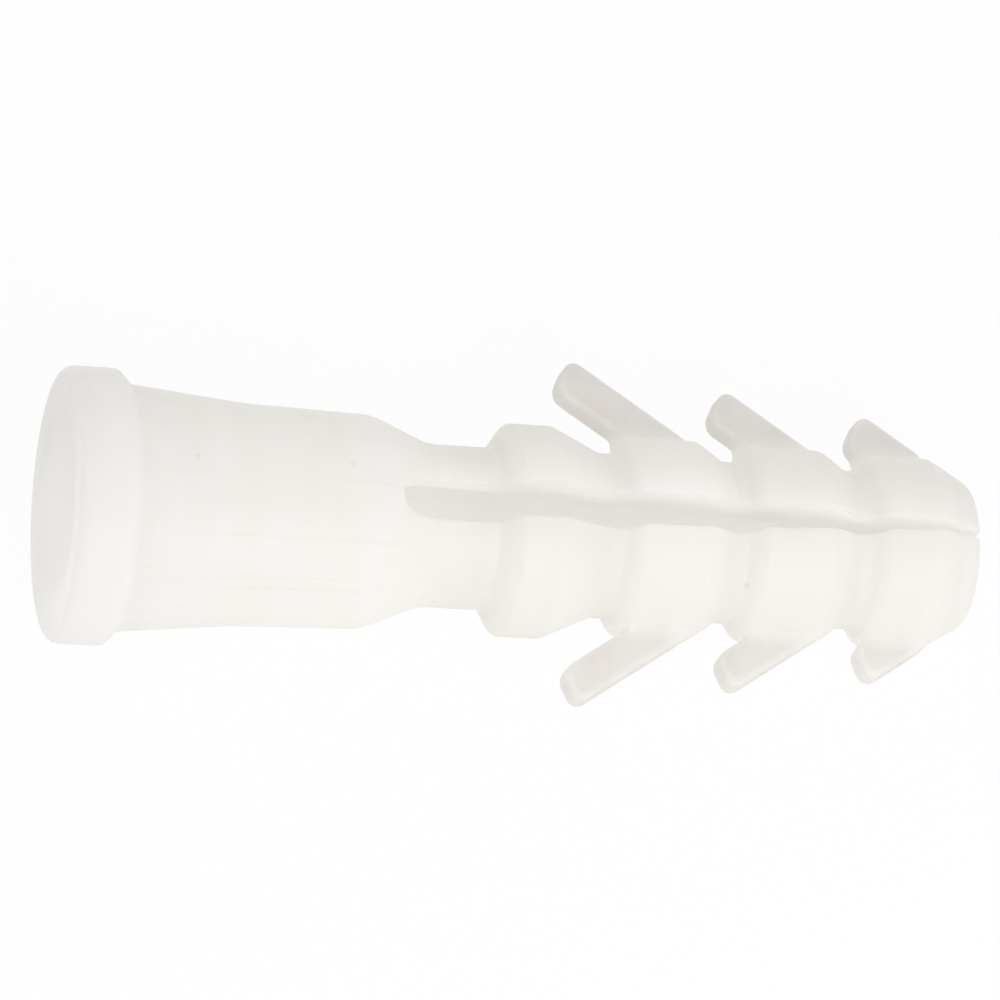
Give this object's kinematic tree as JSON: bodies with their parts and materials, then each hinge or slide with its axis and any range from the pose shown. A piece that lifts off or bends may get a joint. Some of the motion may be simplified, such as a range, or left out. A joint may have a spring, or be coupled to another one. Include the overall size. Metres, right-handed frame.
{
  "type": "wall anchor",
  "caption": "Plastic expansion plug with a collar, tapered barrel, screw bore and split barbed end whose legs spread and whose side fins fold as it enters a drilled hole.",
  "frame": {"origin": "on the plug's axis, at the collar's outer face", "axes": "+X along the axis from the collar to the tip, +Y towards the left leg, +Z out of the slot between the legs"},
  "size_m": [0.035, 0.0132, 0.0104],
  "materials": {
    "plastic": "milky white moulded plastic, satin, slightly translucent"
  },
  "bodies": {
    "sleeve": {"sleeve": "plastic"},
    "left_leg": {"left_leg": "plastic"},
    "right_leg": {"right_leg": "plastic"},
    "left_rear_fin": {"left_rear_fin": "plastic"},
    "left_middle_fin": {"left_middle_fin": "plastic"},
    "left_front_fin": {"left_front_fin": "plastic"},
    "right_rear_fin": {"right_rear_fin": "plastic"},
    "right_middle_fin": {"right_middle_fin": "plastic"},
    "right_front_fin": {"right_front_fin": "plastic"}
  },
  "joints": [
    {"name": "left_leg_flex", "type": "hinge", "parent": "sleeve", "child": "left_leg", "pos_m": [0.0139, 0.00305, 0], "axis": [0, 0, 1], "range_deg": [0, 6], "stiffness_Nm_per_rad": 0.2},
    {"name": "right_leg_flex", "type": "hinge", "parent": "sleeve", "child": "right_leg", "pos_m": [0.0139, -0.00305, 0], "axis": [0, 0, -1], "range_deg": [0, 6], "stiffness_Nm_per_rad": 0.2},
    {"name": "left_rear_fold", "type": "hinge", "parent": "left_leg", "child": "left_rear_fin", "pos_m": [0.02167, 0.00375, 0], "axis": [0, 0, 1], "range_deg": [0, 26], "stiffness_Nm_per_rad": 0.043},
    {"name": "left_middle_fold", "type": "hinge", "parent": "left_leg", "child": "left_middle_fin", "pos_m": [0.02648, 0.00369, 0], "axis": [0, 0, 1], "range_deg": [0, 26], "stiffness_Nm_per_rad": 0.043},
    {"name": "left_front_fold", "type": "hinge", "parent": "left_leg", "child": "left_front_fin", "pos_m": [0.03101, 0.00363, 0], "axis": [0, 0, 1], "range_deg": [0, 26], "stiffness_Nm_per_rad": 0.043},
    {"name": "right_rear_fold", "type": "hinge", "parent": "right_leg", "child": "right_rear_fin", "pos_m": [0.02167, -0.00375, 0], "axis": [0, 0, -1], "range_deg": [0, 26], "stiffness_Nm_per_rad": 0.043},
    {"name": "right_middle_fold", "type": "hinge", "parent": "right_leg", "child": "right_middle_fin", "pos_m": [0.02648, -0.00369, 0], "axis": [0, 0, -1], "range_deg": [0, 26], "stiffness_Nm_per_rad": 0.043},
    {"name": "right_front_fold", "type": "hinge", "parent": "right_leg", "child": "right_front_fin", "pos_m": [0.03101, -0.00363, 0], "axis": [0, 0, -1], "range_deg": [0, 26], "stiffness_Nm_per_rad": 0.043}
  ],
  "couplings": [
    {"joint": "right_leg_flex", "follows": "left_leg_flex", "ratio": 1}
  ]
}
